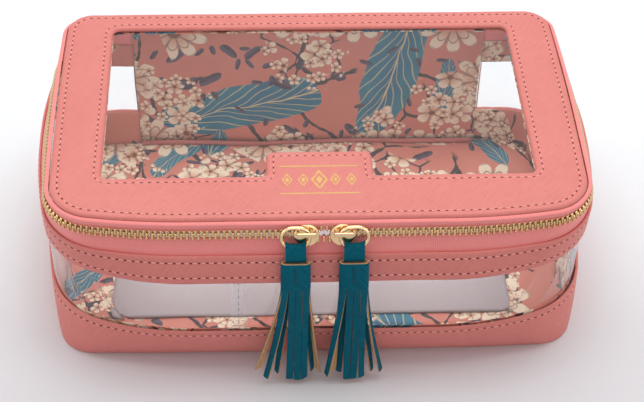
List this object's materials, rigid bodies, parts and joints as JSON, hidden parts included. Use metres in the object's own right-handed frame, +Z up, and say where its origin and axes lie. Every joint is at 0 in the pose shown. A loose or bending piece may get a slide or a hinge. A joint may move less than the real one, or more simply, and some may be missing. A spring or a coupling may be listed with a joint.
{
  "type": "game tile bag",
  "caption": "Rectangular zip-around bag with a framed clear lid and clear wall window, a hinged lid, two zip sliders with rings and leather tassels.",
  "frame": {"origin": "on the table under the middle of the base panel", "axes": "+Z up, -Y to the front with the sliders and tassels, +X to the right"},
  "size_m": [0.2658, 0.1683, 0.091],
  "materials": {
    "coral_leather": "cross-grain, satin",
    "clear_sheet": "clear, flexible",
    "printed_lining": "printed weave",
    "stiff_board": "matte",
    "insert_paper": "matte card",
    "zip_tape": "woven",
    "gold_metal": "polished pale gold",
    "teal_leather": "cross-grain with raw tan edges"
  },
  "bodies": {
    "case": {"base_panel": "coral_leather", "base_board": "stiff_board", "floor_lining": "printed_lining", "floor_piping": "coral_leather", "insert_card": "insert_paper", "lower_band": "coral_leather", "lower_band_lining": "printed_lining", "upper_band": "coral_leather", "upper_band_lining": "printed_lining", "window_left": "clear_sheet", "window_right": "clear_sheet", "back_panel": "coral_leather", "back_panel_lining": "printed_lining", "lower_zip_tape": "zip_tape", "lower_zip_teeth": "gold_metal", "lower_zip_stops": "gold_metal"},
    "lid": {"lid_frame": "coral_leather", "lid_window": "clear_sheet", "lid_board": "stiff_board", "lid_lining": "printed_lining", "hinge_strip": "coral_leather", "hinge_lining": "printed_lining", "upper_zip_tape": "zip_tape", "upper_zip_teeth": "gold_metal", "upper_zip_stops": "gold_metal"},
    "slider_left": {"slider_left_body": "gold_metal", "slider_left_bridge": "gold_metal"},
    "ring_left": {"ring_left": "gold_metal"},
    "tassel_left": {"tassel_left_strap": "teal_leather", "tassel_left_head": "teal_leather", "tassel_left_fringe": "teal_leather"},
    "slider_right": {"slider_right_body": "gold_metal", "slider_right_bridge": "gold_metal"},
    "ring_right": {"ring_right": "gold_metal"},
    "tassel_right": {"tassel_right_strap": "teal_leather", "tassel_right_head": "teal_leather", "tassel_right_fringe": "teal_leather"}
  },
  "joints": [
    {"name": "lid_hinge", "type": "hinge", "parent": "case", "child": "lid", "pos_m": [0, 0.07555, 0.0825], "axis": [-1, 0, 0], "range_deg": [0, 180]},
    {"name": "slider_left_slide", "type": "slide", "parent": "case", "child": "slider_left", "axis": [-1, 0, 0], "range_m": [0, 0.045], "deforming": ["lower_zip_teeth", "upper_zip_teeth"]},
    {"name": "ring_left_swing", "type": "hinge", "parent": "slider_left", "child": "ring_left", "pos_m": [-0.0069, -0.07977, 0.08661], "axis": [0, 0.3128, 0.9498], "range_deg": [0, 90]},
    {"name": "tassel_left_swing", "type": "hinge", "parent": "ring_left", "child": "tassel_left", "pos_m": [-0.01218, -0.08217, 0.07931], "axis": [1, 0, 0], "range_deg": [-75, 0], "deforming": ["tassel_left_strap"]},
    {"name": "slider_right_slide", "type": "slide", "parent": "case", "child": "slider_right", "axis": [1, 0, 0], "range_m": [0, 0.045], "deforming": ["lower_zip_teeth", "upper_zip_teeth"]},
    {"name": "ring_right_swing", "type": "hinge", "parent": "slider_right", "child": "ring_right", "pos_m": [0.0087, -0.07977, 0.08661], "axis": [0, -0.3128, -0.9498], "range_deg": [0, 90]},
    {"name": "tassel_right_swing", "type": "hinge", "parent": "ring_right", "child": "tassel_right", "pos_m": [0.01398, -0.08217, 0.07931], "axis": [1, 0, 0], "range_deg": [-75, 0], "deforming": ["tassel_right_strap"]}
  ]
}
